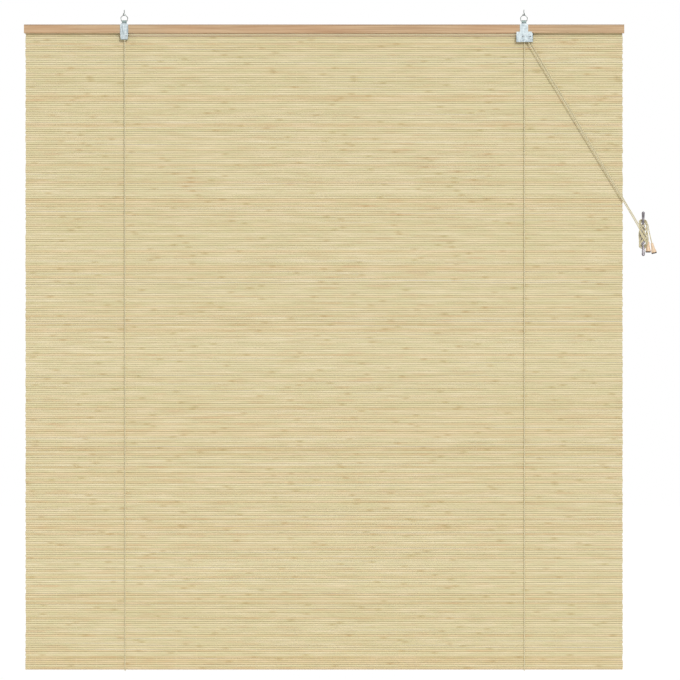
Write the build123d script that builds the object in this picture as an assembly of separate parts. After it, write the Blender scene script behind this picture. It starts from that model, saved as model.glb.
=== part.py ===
from build123d import *
import math
import os

os.makedirs("parts", exist_ok=True)

# A roll up blind of split bamboo reeds, hanging from two screw hooks, with its pull cords
# wound on a wall cleat. Millimetres. X runs along the headrail, -Y faces the room, Z is up.
# The origin lies in the ceiling plane, midway between the threads of the two hooks.

# Headrail, the batten under it and the batten at the foot
rail_length = 1500.0
rail_height = 21.5
rail_thickness = 12.0
rail_drop = 30.25
rail_ease = 1.2
lower_batten_height = 8.0
lower_batten_thickness = 5.0
foot_batten_height = 19.0
foot_batten_thickness = 8.0
foot_batten_edge = 2.5
foot_batten_below_mat = 2.0
end_gap = 1.0

# Reed mat
mat_inset = 2.5
reed_pitch = 5.4
reed_count = 298
reed_thickness = 1.8
mat_web = 0.5
mat_above = 2.35
gap_rows = 20
gap_height = 0.5
gap_margin = 20.0
gap_land = 24.0

# Two hanging stations, each a folded steel strap round the rail
station_spacing = 999.0
sheet = 1.0
fold_radius = 1.5
strap_width = 20.5
neck_width = 11.5
shoulder = 4.0
neck_length = 3.0
housing_depth = 8.4
back_leg_below_rail = 5.25
cord_tab = 7.2
left_housing_height = 17.0
left_housing_taper = 2.0
screw_radius = 1.4
screw_head_radius = 2.9
screw_head_height = 1.6
screw_length = 9.0

# Cords and how they run
cord_diameter = 2.5
cord_gap = 0.25
cord_offset = 1.5
front_cord_y = -3.3
rear_cord_y = 0.7
cord_hole_clearance = 1.0
pull_angle = 30.3
knot_radius = 2.8
knot_length = 5.0

# Cord lock on the right station
lock_width = 42.0
lock_height = 26.0
lock_top_below_rail = 18.0
lock_left = 19.0
lock_edge = 3.0
axle_offset = -2.5
axle_drop = 30.0
axle_radius = 1.5
pulley_path = 4.6
boss_radius = 6.0
boss_width = 1.2
boss_height = 0.4
guide_radius = 1.0
second_cord_step = 4.9
jam_radius = 2.5
jam_teeth = 12
jam_tooth = 0.45
jam_pin_radius = 1.0
jam_travel = 3.0
jam_slot_angle = 20.0
exit_length = 3.0

# Running parts
running = 0.08
side_play = 0.3
roller_path = 3.45
flange_height = 0.8
flange_width = 0.6
roller_pin_radius = 1.0
pin_head = 0.9
rivet_head_height = 0.9

# Rings and screw hooks, all of round wire; a bent wire or cord is drawn with flats
wire_radius = 1.0
round_sides = 8
bend_steps = 3
turned_sides = 16
ring_half_width = 8.75
ring_base_half = 7.2
ring_half_angle = 44.0
ring_apex_radius = 1.8
ring_corner_radius = 3.0
ring_base_radius = 1.5
ring_seat = 0.4
knuckle_drop = 21.5
hook_half_width = 5.0
hook_corner_radius = 2.6
hook_turn = 25.0
hook_bottom = 7.4
hook_crook = 1.6
hook_step = 1.8
hook_lip = 3.4
thread_radius = 1.25
thread_below = 0.8
thread_length = 6.0
thread_point = 2.0

# Staples that hold the mat to the rail
staple_count = 14
staple_end = 61.0
staple_crown = 12.0
staple_wire = 0.7
staple_leg = 7.0

# Wall cleat with the cord wound on it
cleat_beside_rail = 47.5
cleat_z = -553.5
cleat_length = 111.0
cleat_tip_radius = 4.0
cleat_waist_radius = 2.8
cleat_root_radius = 3.8
cleat_bow = 7.0
cleat_front_y = -6.0
wall_y = 35.0
foot_length = 52.0
foot_width = 14.0
foot_thickness = 4.0
foot_hole_spacing = 36.0
foot_hole_radius = 2.1
foot_hole_sink = 4.0
stem_width = 8.0
stem_length = 20.0
winding_front_y = -13.0
winding_depth = 27.0
winding_corner = 1.5
winding_edge = 1.2
winding_gap = 0.3

# Wooden tassels
tassel_length = 27.0
tassel_radius = 6.8
tassel_neck = 3.4
tassel_hole = 1.45
tassel_cup_radius = 4.4
tassel_cup_depth = 8.0

# Where the free cords meet the winding, from the cleat's middle, and how the tassels hang
left_cord_end = (-13.8, -2.0, 22.0)
right_cord_end = (-11.2, -0.5, 23.4)
left_tassel_start = (12.5, 0.0, -10.5)
left_tassel_reach = (0, 0, -9.0)
right_tassel_start = (12.5, -6.0, 14.0)
right_tassel_reach = (8.8, 0, -37.0)

# Places and planes that several pieces share
mat_width = rail_length - 2 * mat_inset
cleat_x = rail_length / 2 + cleat_beside_rail
station = station_spacing / 2
rail_bottom = -rail_drop - rail_height
mat_top = -rail_drop - mat_above
mat_bottom = mat_top - reed_count * reed_pitch
mat_front = rail_thickness / 2
mat_back = mat_front + reed_thickness
foot_bottom = mat_bottom - foot_batten_below_mat
foot_back = mat_back + foot_batten_thickness
plate_y = -rail_thickness / 2 - sheet / 2
cheek_y = plate_y + sheet / 2 + housing_depth
back_leg_y = mat_back + sheet / 2
tab_cord_y = back_leg_y + cord_tab * 0.6
cord_radius = cord_diameter / 2
hook_lean = math.radians(hook_turn)
cord_level = -rail_drop - axle_drop + pulley_path
axle = (station + axle_offset, -rail_drop - axle_drop)
pull = math.radians(pull_angle)
pull_normal = (math.cos(pull), math.sin(pull))
left_cord_x = -station + cord_offset
right_cord_x = station + cord_offset
roller_centre = (left_cord_x + roller_path, cord_level - roller_path)
exit_level = axle[1] + axle_drop - lock_top_below_rail - lock_height - exit_length


def on_pull_line(distance, level):
    """The x of the pull cord that runs at that distance from the lock's axle, at that level."""
    return axle[0] + (distance - (level - axle[1]) * pull_normal[1]) / pull_normal[0]


def second_line():
    return pulley_path + second_cord_step


def guide_centre():
    """The pin that turns the right cord: it touches the upright run and the second pull line."""
    reach = cord_radius + guide_radius
    x = right_cord_x + reach
    level = (second_line() - reach - (x - axle[0]) * pull_normal[0]) / pull_normal[1]
    return x, axle[1] + level


def jam_centre():
    """The locking roller, just clear of the second pull cord, near the guide's level."""
    distance = second_line() + cord_radius + side_play + jam_radius
    level = axle[1] - 0.8
    return on_pull_line(distance, level), level


def across(radius, centre, front, back):
    """A round bar along Y between two planes."""
    bar = Plane((centre[0], front, centre[1]), x_dir=(1, 0, 0), z_dir=(0, 1, 0)) * Circle(radius)
    return extrude(bar, back - front)


def round_bar(path, radius):
    """A round bar along a path. Its flats keep a true round's area, and so its volume."""
    turn = math.pi / round_sides
    corner = radius * math.sqrt(turn / (math.sin(turn) * math.cos(turn)))
    section = Plane(origin=path @ 0, z_dir=path % 0) * RegularPolygon(corner, round_sides)
    return sweep(section, path=path)


def bent_wire(route, radius):
    """A round bar along a route whose arcs are drawn in short straight steps, joined in mitres."""
    points = []
    for edge in route.edges():
        steps = bend_steps if edge.geom_type == GeomType.CIRCLE else 1
        points += [edge @ (step / steps) for step in range(steps)]
    closed = route.is_closed
    points.append(points[0] if closed else route @ 1)
    path = Polyline(*points)
    turn = math.pi / round_sides
    corner = radius * math.sqrt(turn / (math.sin(turn) * math.cos(turn)))
    section = Plane(origin=path @ 0, z_dir=path % 0) * RegularPolygon(corner, round_sides)
    return sweep(section, path=path, transition=Transition.RIGHT)


def turned(rims):
    """A turned form along Z from its (level, radius, y) rims, drawn with flat bands and sides."""
    rings = []
    for level, radius, *shift in rims:
        turns = [2 * math.pi * side / turned_sides for side in range(turned_sides)]
        rings.append([Vector(radius * math.cos(turn), radius * math.sin(turn) + sum(shift), level)
                      for turn in turns])
    faces = [Face(Wire.make_polygon(rings[0])), Face(Wire.make_polygon(rings[-1]))]
    for low, high in zip(rings, rings[1:]):
        for side in range(turned_sides):
            after = (side + 1) % turned_sides
            corners = [low[side], low[after], high[after], high[side]]
            faces.append(Face(Wire.make_polygon(corners)))
    return Solid(Shell(faces))


def tube(points, radii, radius):
    """A cord along straight runs joined by tangent arcs."""
    return round_bar(FilletPolyline(*points, radius=radii), radius)


def front_outline(points):
    """A prism along Y, from far in front to far behind, with that outline in X and Z."""
    face = Plane.XZ * make_face(Polyline(*points, close=True))
    return extrude(face, 100, both=True)


def headrail():
    rail = Box(rail_length, rail_thickness, rail_height)
    rail = fillet(rail.edges().filter_by(Axis.X), rail_ease)
    return Pos(0, 0, -rail_drop - rail_height / 2) * rail


def lower_batten():
    left = -station + strap_width / 2 + end_gap
    right = station - lock_left - end_gap
    batten = Box(right - left, lower_batten_thickness, lower_batten_height)
    batten = chamfer(batten.edges().filter_by(Axis.X).group_by(Axis.Z)[0], 0.6)
    middle_y = mat_front - lower_batten_thickness / 2
    return Pos((left + right) / 2, middle_y, rail_bottom - lower_batten_height / 2) * batten


def reed_mat():
    """One wall of reeds side by side, with grooves between them and gaps right through."""
    groove = (reed_thickness - mat_web) / 2
    front = []
    back = []
    for row in range(reed_count):
        top = mat_top - row * reed_pitch
        front += [(mat_front + groove, top), (mat_front, top - reed_pitch / 2)]
        back += [(mat_back - groove, top), (mat_back, top - reed_pitch / 2)]
    front.append((mat_front + groove, mat_bottom))
    back.append((mat_back - groove, mat_bottom))
    face = Plane.YZ * make_face(Polyline(*front, *reversed(back), close=True))
    return extrude(face, mat_width / 2, both=True) - mat_gaps()


def mat_gaps():
    """Slits between reeds, two to a row, where light comes through the real mat."""
    every = reed_count // (gap_rows + 1)
    length = mat_width / 2 - gap_margin - gap_land / 2
    slits = []
    for row in range(1, gap_rows + 1):
        level = mat_top - row * every * reed_pitch
        for side in (-1, 1):
            x = side * (gap_land / 2 + length / 2)
            slits.append(Pos(x, mat_back, level) * Box(length, 3 * reed_thickness, gap_height))
    return slits


def foot_batten():
    batten = Box(mat_width, foot_batten_thickness, foot_batten_height)
    edges = batten.edges().filter_by(Axis.X)
    batten = fillet(edges.group_by(Axis.Z)[0], foot_batten_edge)
    middle_y = mat_back + foot_batten_thickness / 2
    return Pos(0, middle_y, foot_bottom + foot_batten_height / 2) * batten


def strap(foot):
    """The folded strip from its cord tab up the back, round the ring's base and down the front."""
    bend = wire_radius + running + sheet / 2
    shoulder_z = -knuckle_drop - neck_length - shoulder
    tab_z = rail_bottom - back_leg_below_rail
    knuckle = -knuckle_drop
    rear = [(back_leg_y + cord_tab, tab_z), (back_leg_y, tab_z), (back_leg_y, shoulder_z)]
    rear += [(bend, shoulder_z + shoulder), (bend, knuckle)]
    lead = [(-bend, knuckle), (-bend, shoulder_z + shoulder), (plate_y, shoulder_z)] + foot
    line = FilletPolyline(*rear, radius=fold_radius)
    line += ThreePointArc((bend, knuckle), (0, knuckle + bend), (-bend, knuckle))
    line += FilletPolyline(*lead, radius=fold_radius)
    return Plane.YZ * trace(line, sheet)


def strap_outline(width, bottom, bottom_half):
    """The strap from the front: a narrow neck, sloping shoulders and parallel sides."""
    half = width / 2
    neck = neck_width / 2
    neck_z = -knuckle_drop - neck_length - shoulder / 2
    side_z = neck_z - (half - neck)
    right = [(neck, 0), (neck, neck_z), (half, side_z), (half, rail_bottom)]
    right += [(bottom_half, bottom)]
    return front_outline(right + [(-x, z) for x, z in reversed(right)])


def slot_through(centre, half_width, travel, angle):
    """A slot along Y through both cheeks, its round ends one travel apart."""
    ends = [across(half_width, centre, plate_y - sheet, cheek_y + 2 * sheet)]
    turn = math.radians(angle)
    far = (centre[0] + travel * math.cos(turn), centre[1] + travel * math.sin(turn))
    ends.append(across(half_width, far, plate_y - sheet, cheek_y + 2 * sheet))
    depth = cheek_y - plate_y + 3 * sheet
    bar = Rot(0, -angle, 0) * Box(travel, depth, 2 * half_width)
    middle_y = (plate_y + cheek_y + sheet) / 2
    middle = Pos((centre[0] + far[0]) / 2, middle_y, (centre[1] + far[1]) / 2)
    return ends + [middle * bar]


def web_hole(x, y, length, width, level):
    return Pos(x, y, level) * Box(length, width, 4 * sheet)


def tab_hole(x):
    level = rail_bottom - back_leg_below_rail
    hole = Cylinder(cord_radius + cord_gap, 4 * sheet)
    return Pos(x, tab_cord_y, level) * hole


def strap_screw_hole():
    level = -rail_drop - rail_height / 2
    return across(screw_radius + running, (0, level), mat_back - sheet, back_leg_y + sheet)


def left_hanger():
    """The strap, folded up again below the rail into a narrow housing for the roller."""
    bottom = rail_bottom - left_housing_height + sheet / 2
    cheek = cheek_y + sheet / 2
    foot = [(plate_y, bottom), (cheek, bottom), (cheek, rail_bottom - end_gap)]
    body = extrude(strap(foot), strap_width / 2, both=True)
    half = strap_width / 2 - left_housing_taper
    body &= strap_outline(strap_width, bottom - sheet, half)
    body -= tab_hole(cord_offset)
    body -= strap_screw_hole()
    hole = cord_diameter + 2 * cord_hole_clearance
    body -= web_hole(cord_offset, front_cord_y, hole, hole, bottom)
    body = Pos(-station, 0, 0) * body
    return body - across(roller_pin_radius, roller_centre, plate_y - sheet, cheek + sheet)


def lock_shell():
    """The lock's box below the rail: two cheeks, a web under them and a rounded right side."""
    bottom = -rail_drop - lock_top_below_rail - lock_height
    top = rail_bottom - end_gap / 2
    depth = housing_depth + 2 * sheet
    front = plate_y - sheet / 2
    outer = Box(lock_width, depth, top - bottom, align=(Align.MIN, Align.MIN, Align.MIN))
    right_edges = outer.edges().filter_by(Axis.Z).group_by(Axis.X)[-1]
    outer = fillet(right_edges, lock_edge)
    outer = chamfer(outer.edges().group_by(Axis.Z)[0], sheet / 2)
    inner = Box(lock_width, housing_depth, top - bottom, align=(Align.MIN, Align.MIN, Align.MIN))
    inner = fillet(inner.edges().filter_by(Axis.Z).group_by(Axis.X)[-1], lock_edge - sheet)
    shell = outer - Pos(-sheet, sheet, sheet) * inner
    return Pos(-lock_left, front, bottom) * shell


def lock_face():
    """The wide part of the front plate that rises over the lower edge of the rail."""
    top = -rail_drop - lock_top_below_rail
    height = top - rail_bottom + end_gap
    face = Box(lock_width - lock_edge, sheet, height, align=(Align.MIN, Align.CENTER, Align.MAX))
    face = fillet(face.edges().filter_by(Axis.Y).group_by(Axis.Z)[-1], sheet)
    return Pos(-lock_left, plate_y, top) * face


def lock_housing():
    """The right strap, carried out below the rail into the sheet steel cord lock."""
    bottom = -rail_drop - lock_top_below_rail - lock_height
    foot = [(plate_y, rail_bottom - end_gap)]
    body = extrude(strap(foot), strap_width / 2, both=True)
    body &= strap_outline(strap_width, rail_bottom - 20, strap_width / 2)
    body += [lock_face(), lock_shell()]
    body -= tab_hole(cord_offset)
    body -= strap_screw_hole()
    boss = Circle(boss_radius) - Circle(boss_radius - boss_width)
    plane = Plane((axle_offset, plate_y - sheet / 2, axle[1]), x_dir=(1, 0, 0), z_dir=(0, -1, 0))
    body += extrude(plane * boss, boss_height)
    web = bottom + sheet / 2
    body -= web_hole(cord_offset, rear_cord_y, 5.0, cord_diameter + 0.8, web)
    near = on_pull_line(pulley_path, web) - station - cord_diameter
    far = on_pull_line(second_line(), web) - station + cord_diameter
    for side in (-1, 1):
        middle = side * (near + far) / 2
        body -= web_hole(middle, (front_cord_y + rear_cord_y) / 2, far - near, 7.0, web)
    body = Pos(station, 0, 0) * body
    body -= across(axle_radius, axle, plate_y - sheet, cheek_y + 2 * sheet)
    body -= across(guide_radius, guide_centre(), plate_y - sheet, cheek_y + 2 * sheet)
    half = jam_pin_radius + running
    body -= slot_through(jam_centre(), half, jam_travel, jam_slot_angle)
    return body


def wheel(path_radius, bore, front, groove_y, back):
    """A grooved wheel on an axis along Y; its groove clears the cord on its path."""
    root = path_radius - cord_radius - cord_gap
    rim = path_radius + flange_height
    groove = groove_y - front - flange_width
    near, far = groove_y - groove, groove_y + groove
    points = [(bore, front), (rim, front), (rim, near), (root, near), (root, far), (rim, far)]
    points += [(rim, far + flange_width), (root, far + flange_width), (root, back), (bore, back)]
    face = make_face(Polyline(*points, close=True))
    return revolve(face, axis=Axis.Y)


def at(centre):
    return Pos(centre[0], 0, centre[1])


def pin(radius, centre, head):
    """A pin through both cheeks with a riveted head on each end."""
    front = plate_y - sheet / 2
    back = cheek_y + sheet
    body = across(radius, centre, front, back)
    for face_y, way in ((front, -1), (back, 1)):
        plane = Plane((centre[0], face_y, centre[1]), x_dir=(1, 0, 0), z_dir=(0, way, 0))
        body += extrude(plane * Circle(head), rivet_head_height)
    return body


def left_roller():
    front = plate_y + sheet / 2 + side_play
    back = cheek_y - side_play
    bore = roller_pin_radius + running
    return at(roller_centre) * wheel(roller_path, bore, front, front_cord_y, back)


def left_roller_pin():
    return pin(roller_pin_radius, roller_centre, roller_pin_radius + pin_head)


def lock_pulley():
    front = plate_y + sheet / 2 + side_play
    back = rear_cord_y - cord_radius - side_play
    bore = axle_radius + running
    return at(axle) * wheel(pulley_path, bore, front, front_cord_y, back)


def lock_axle():
    return pin(axle_radius, axle, axle_radius + pin_head)


def cord_guide_pin():
    """A plain pin, pressed in flush with the lock's two cheeks."""
    return across(guide_radius, guide_centre(), plate_y - sheet / 2, cheek_y + sheet)


def lock_roller():
    """A knurled roller: it jams the cords when it runs down its slots."""
    teeth = []
    for step in range(jam_teeth):
        for share, radius in ((0.0, jam_radius), (0.5, jam_radius - jam_tooth)):
            turn = 2 * math.pi * (step + share) / jam_teeth
            teeth.append((radius * math.cos(turn), radius * math.sin(turn)))
    face = make_face(Polyline(*teeth, close=True)) - Circle(jam_pin_radius + running)
    front = plate_y + sheet / 2 + side_play
    plane = Plane((0, front, 0), x_dir=(1, 0, 0), z_dir=(0, 1, 0))
    return at(jam_centre()) * extrude(plane * face, cheek_y - side_play - front)


def lock_roller_pin():
    """The roller's axle, with flat heads that keep it in its slots."""
    centre = jam_centre()
    front = plate_y - sheet / 2 - side_play
    back = cheek_y + sheet + side_play
    body = across(jam_pin_radius, centre, front, back)
    head = jam_pin_radius + pin_head
    body += across(head, centre, front - rivet_head_height, front)
    return body + across(head, centre, back, back + rivet_head_height)


def ring_peak():
    """Where the ring's two legs would meet, so that they straddle the hook with a small gap."""
    lean = math.radians(ring_half_angle)
    slant = math.sin(lean) * math.cos(hook_lean)
    slant /= math.hypot(math.cos(lean), math.sin(lean) * math.cos(hook_lean))
    return -hook_bottom + (2 * wire_radius + ring_seat) / slant


def ring(x):
    """A triangle of round wire: its base turns in the strap's knuckle, its peak is on the hook."""
    peak = ring_peak()
    corner_z = peak - ring_half_width / math.tan(math.radians(ring_half_angle))
    base = [(-ring_base_half, -knuckle_drop), (ring_base_half, -knuckle_drop)]
    top = [(ring_half_width, corner_z), (0, peak), (-ring_half_width, corner_z)]
    route = [(x + px, 0, pz) for px, pz in base + top]
    radii = [ring_base_radius] * 2 + [ring_corner_radius, ring_apex_radius, ring_corner_radius]
    return bent_wire(FilletPolyline(*route, radius=radii, close=True), wire_radius)


def screw_hook(x, side):
    """A screw hook of wire: thread, shank, a crook to one side and an open half turn."""
    lean = Vector(side * math.sin(hook_lean), math.cos(hook_lean), 0)
    plane = Plane(origin=(x, 0, 0), x_dir=lean, z_dir=lean.cross(Vector(0, 0, 1)))
    points = [(0, 0), (0, -hook_crook), (-hook_half_width, -hook_crook - hook_step)]
    points += [(-hook_half_width, -hook_bottom), (hook_half_width, -hook_bottom)]
    points.append((hook_half_width, -hook_lip))
    radii = [hook_step * 0.6, hook_step * 0.8, hook_corner_radius, hook_corner_radius]
    path = plane * FilletPolyline(*points, radius=radii)
    length = thread_below + thread_length
    upright = (Align.CENTER, Align.CENTER, Align.MIN)
    thread = Pos(x, 0, -thread_below) * Cylinder(thread_radius, length, align=upright)
    tip = Pos(x, 0, thread_length) * turned([(0, thread_radius), (thread_point, 0.3)])
    return bent_wire(path, wire_radius) + thread + tip


def staples():
    """Wire staples from the back, through the mat into the rail."""
    solids = []
    level = -rail_drop - rail_height / 2
    pitch = (rail_length - 2 * staple_end) / (staple_count - 1)
    for step in range(staple_count):
        x = (step - (staple_count - 1) / 2) * pitch
        crown = Pos(x, mat_back + staple_wire / 2, level)
        staple = crown * Box(staple_crown, staple_wire, staple_wire)
        for side in (-1, 1):
            leg_x = x + side * (staple_crown - staple_wire) / 2
            leg = Box(staple_wire, staple_leg, staple_wire)
            staple += Pos(leg_x, mat_back + staple_wire - staple_leg / 2, level) * leg
        solids.append(staple)
    return Compound(solids)


def strap_screws():
    """A pan head screw at the back of each strap, through the mat into the rail."""
    solids = []
    level = -rail_drop - rail_height / 2
    back = back_leg_y + sheet / 2
    for x in (-station, station):
        body = across(screw_radius, (x, level), back - screw_length, back)
        head = across(screw_head_radius, (x, level), back, back + screw_head_height)
        solids.append(body + head)
    return Compound(solids)


def lift_route(x, front_y):
    """A lift cord from its knot down the back, under the foot and up the front."""
    stand = cord_radius + cord_gap
    under = foot_bottom - stand
    knot_z = rail_bottom - back_leg_below_rail + sheet / 2
    points = [(x, tab_cord_y, knot_z), (x, foot_back + stand, under)]
    points += [(x, mat_front - stand, under)]
    return points, [foot_batten_edge + stand] * 2


def left_lift_cord():
    points, radii = lift_route(left_cord_x, front_cord_y)
    points.append((left_cord_x, front_cord_y, cord_level))
    turn_x = on_pull_line(pulley_path, cord_level)
    points.append((turn_x, front_cord_y, cord_level))
    points.append((on_pull_line(pulley_path, exit_level), front_cord_y, exit_level))
    return tube(points, radii + [roller_path, pulley_path], cord_radius)


def right_lift_cord():
    points, radii = lift_route(right_cord_x, rear_cord_y)
    turn_z = axle[1] + (second_line() - (right_cord_x - axle[0]) * pull_normal[0]) / pull_normal[1]
    points.append((right_cord_x, rear_cord_y, turn_z))
    points.append((on_pull_line(second_line(), exit_level), rear_cord_y, exit_level))
    return tube(points, radii + [guide_radius + cord_radius], cord_radius)


def lift_cord_knots():
    """The stopper knot of each lift cord, on top of its strap's cord tab."""
    solids = []
    level = rail_bottom - back_leg_below_rail + sheet / 2
    for x in (left_cord_x, right_cord_x):
        knot = Cylinder(knot_radius, knot_length)
        solids.append(Pos(x, tab_cord_y, level + knot_length / 2) * knot)
    return Compound(solids)


def cleat_bar():
    """The two horns in one bar, bowed forward, with a slim waist and blunt round tips."""
    half = cleat_length / 2
    tip = cleat_tip_radius
    girths = [(0, cleat_root_radius), (0.35, cleat_waist_radius), (0.55, cleat_waist_radius)]
    girths += [(1 - tip / half, tip), (1 - 0.3 * tip / half, tip * 0.8), (1, tip * 0.4)]
    rims = [(share * half, radius, cleat_front_y + cleat_bow * (1 - share**2))
            for share, radius in girths]
    horn = turned(rims)
    return horn + mirror(horn, Plane.XY)


def cleat():
    """A wall cleat: horns on a stem that widens to a foot with two countersunk screw holes."""
    foot_front = Plane((0, wall_y - foot_thickness, 0), x_dir=(1, 0, 0), z_dir=(0, 1, 0))
    foot = extrude(foot_front * SlotOverall(foot_length, foot_width, rotation=90), foot_thickness)
    reach = wall_y - foot_thickness - cleat_front_y - cleat_bow
    base = foot_front * RectangleRounded(stem_width, stem_length, stem_width * 0.4)
    stem = extrude(base, -reach)
    body = cleat_bar() + stem + foot
    for side in (-1, 1):
        z = side * foot_hole_spacing / 2
        body -= across(foot_hole_radius, (0, z), wall_y - 2 * foot_thickness, wall_y + 1)
        depth = foot_hole_sink - foot_hole_radius
        sink = Cone(foot_hole_sink, foot_hole_radius, depth)
        body -= Pos(0, wall_y - foot_thickness + depth / 2, z) * Rot(-90, 0, 0) * sink
    return Pos(cleat_x, 0, cleat_z) * body


def winding_outline():
    """The hank from the front, round the middle of the cleat: two lobes above, one below."""
    upper = [(-9.5, 39.5), (-5.5, 39.5), (0, 29), (6.5, 37), (10, 37), (14, 16), (14, -12)]
    return upper + [(8, -14), (0, -24), (-4, -39.5), (-8, -39.5), (-13, -20), (-14, 12)]


def cord_winding():
    """The outer shape of the figure-of-eight turns, open where the cleat runs through it."""
    face = Plane.XZ * make_face(FilletPolyline(*winding_outline(), radius=winding_corner, close=True))
    body = Pos(0, winding_front_y, 0) * extrude(face, -winding_depth)
    body = chamfer(body.edges().group_by(Axis.Y)[0], winding_edge)
    side = cleat_root_radius + winding_gap
    bar_front = cleat_front_y - cleat_tip_radius
    bar_back = cleat_front_y + cleat_bow + side
    for low, high, front in ((-60, -30, winding_front_y - 1), (-30, 20, bar_front),
                             (20, 60, winding_front_y - 1)):
        way = Box(2 * side, bar_back - front, high - low)
        body -= Pos(0, (front + bar_back) / 2, (low + high) / 2) * way
    width = stem_width + 2 * winding_gap
    body -= Pos(0, wall_y / 2, 0) * Box(width, wall_y, stem_length + 2 * winding_gap)
    return Pos(cleat_x, 0, cleat_z) * body


def winding_point(x, y, z):
    return Vector(cleat_x + x, y, cleat_z + z)


def pull_cord(distance, y, end):
    """One free pull cord, pulled tight from the lock to the winding."""
    start = Vector(on_pull_line(distance, exit_level), y, exit_level)
    return round_bar(Line(start, winding_point(*end)), cord_radius)


def tassel():
    """A turned wooden bell: a neck for the cord and a cup below for its knot."""
    flare = tassel_radius - tassel_neck
    rims = [(0, tassel_neck - 0.8), (0.04, tassel_neck)]
    rims += [(share, tassel_neck + flare * (share / 0.85) ** 2) for share in (0.4, 0.65, 0.85)]
    rims.append((1, tassel_radius - 0.8))
    bell = turned([(-share * tassel_length, radius) for share, radius in reversed(rims)])
    bell -= Pos(0, 0, -tassel_length / 2) * Cylinder(tassel_hole, 2 * tassel_length)
    return bell - Pos(0, 0, -tassel_length) * Cylinder(tassel_cup_radius, 2 * tassel_cup_depth)


def tassel_place(cord_start, cord_reach):
    """A frame at the tassel's top, its Z back along the straight cord that it hangs on."""
    start, towards = winding_point(*cord_start), Vector(*cord_reach)
    return Plane(origin=start + towards, z_dir=-towards)


def tassel_cord(cord_start, cord_reach):
    """The end of a pull cord, through its tassel to the stopper knot in the cup."""
    place = tassel_place(cord_start, cord_reach)
    knot_top = -tassel_length + tassel_cup_depth
    foot = place.offset(knot_top - knot_length * 0.6)
    length = Vector(*cord_reach).length - foot.to_local_coords(place.origin).Z * -1
    cord = extrude(foot * Circle(cord_radius), length)
    knot = Cylinder(knot_radius, knot_length * 0.8, align=(Align.CENTER, Align.CENTER, Align.MAX))
    return cord + place.offset(knot_top).location * knot


def arc_report(name, radii):
    print(name, "arc radii over the cord's diameter:", [round(r / cord_diameter, 2) for r in radii])


nodes = {
    "headrail": headrail(),
    "lower_batten": lower_batten(),
    "reed_mat": reed_mat(),
    "foot_batten": foot_batten(),
    "mat_staples": staples(),
    "left_hanger": left_hanger(),
    "lock_housing": lock_housing(),
    "hanger_screws": strap_screws(),
    "left_roller": left_roller(),
    "left_roller_pin": left_roller_pin(),
    "lock_pulley": lock_pulley(),
    "lock_axle": lock_axle(),
    "cord_guide_pin": cord_guide_pin(),
    "lock_roller": lock_roller(),
    "lock_roller_pin": lock_roller_pin(),
    "left_ring": ring(-station),
    "right_ring": ring(station),
    "screw_hooks": Compound([screw_hook(-station, 1), screw_hook(station, -1)]),
    "left_lift_cord": left_lift_cord(),
    "right_lift_cord": right_lift_cord(),
    "lift_cord_knots": lift_cord_knots(),
    "left_pull_cord": pull_cord(pulley_path, front_cord_y, left_cord_end),
    "right_pull_cord": pull_cord(second_line(), rear_cord_y, right_cord_end),
    "cleat": cleat(),
    "cord_winding": cord_winding(),
    "left_tassel_cord": tassel_cord(left_tassel_start, left_tassel_reach),
    "right_tassel_cord": tassel_cord(right_tassel_start, right_tassel_reach),
    "left_tassel": tassel_place(left_tassel_start, left_tassel_reach).location * tassel(),
    "right_tassel": tassel_place(right_tassel_start, right_tassel_reach).location * tassel(),
}
for name, shape in nodes.items():
    export_step(shape, "parts/" + name + ".step")

foot_arc = foot_batten_edge + cord_radius + cord_gap
arc_report("left_lift_cord", [foot_arc, foot_arc, roller_path, pulley_path])
arc_report("right_lift_cord", [foot_arc, foot_arc, guide_radius + cord_radius])
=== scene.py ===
import math
import random

import bmesh
import bpy
from mathutils import Matrix, Vector


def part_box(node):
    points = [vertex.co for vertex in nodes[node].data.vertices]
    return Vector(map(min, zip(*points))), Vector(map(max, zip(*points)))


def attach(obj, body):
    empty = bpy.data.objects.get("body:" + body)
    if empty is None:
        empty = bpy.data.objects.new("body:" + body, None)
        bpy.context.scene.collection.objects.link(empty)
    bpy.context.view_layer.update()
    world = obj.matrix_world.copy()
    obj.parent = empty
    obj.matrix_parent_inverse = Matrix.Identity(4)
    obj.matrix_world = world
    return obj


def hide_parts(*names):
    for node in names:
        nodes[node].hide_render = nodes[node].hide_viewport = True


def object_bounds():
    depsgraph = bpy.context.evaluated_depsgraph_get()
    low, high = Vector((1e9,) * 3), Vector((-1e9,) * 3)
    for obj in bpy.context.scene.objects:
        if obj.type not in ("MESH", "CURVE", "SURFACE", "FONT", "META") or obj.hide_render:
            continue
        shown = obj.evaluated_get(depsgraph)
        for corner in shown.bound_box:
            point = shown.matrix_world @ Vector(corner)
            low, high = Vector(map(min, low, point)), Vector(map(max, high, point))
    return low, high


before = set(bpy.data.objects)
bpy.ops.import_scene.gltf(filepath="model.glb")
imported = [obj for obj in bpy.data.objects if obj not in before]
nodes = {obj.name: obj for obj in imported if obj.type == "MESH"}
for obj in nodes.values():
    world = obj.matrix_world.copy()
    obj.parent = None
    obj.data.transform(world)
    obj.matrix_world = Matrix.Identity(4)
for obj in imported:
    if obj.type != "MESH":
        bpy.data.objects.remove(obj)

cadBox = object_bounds()
mm = 0.001


def middle(node):
    low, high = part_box(node)
    return [(a + b) / 2 for a, b in zip(low, high)]


def corner(node, side):
    return Vector(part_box(node)[side])


def linear(hexColour):
    # sRGB hex to the linear values that a shader takes
    values = [int(hexColour[i:i + 2], 16) / 255 for i in (1, 3, 5)]
    return [v / 12.92 if v <= 0.04045 else ((v + 0.055) / 1.055) ** 2.4 for v in values] + [1.0]


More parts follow.
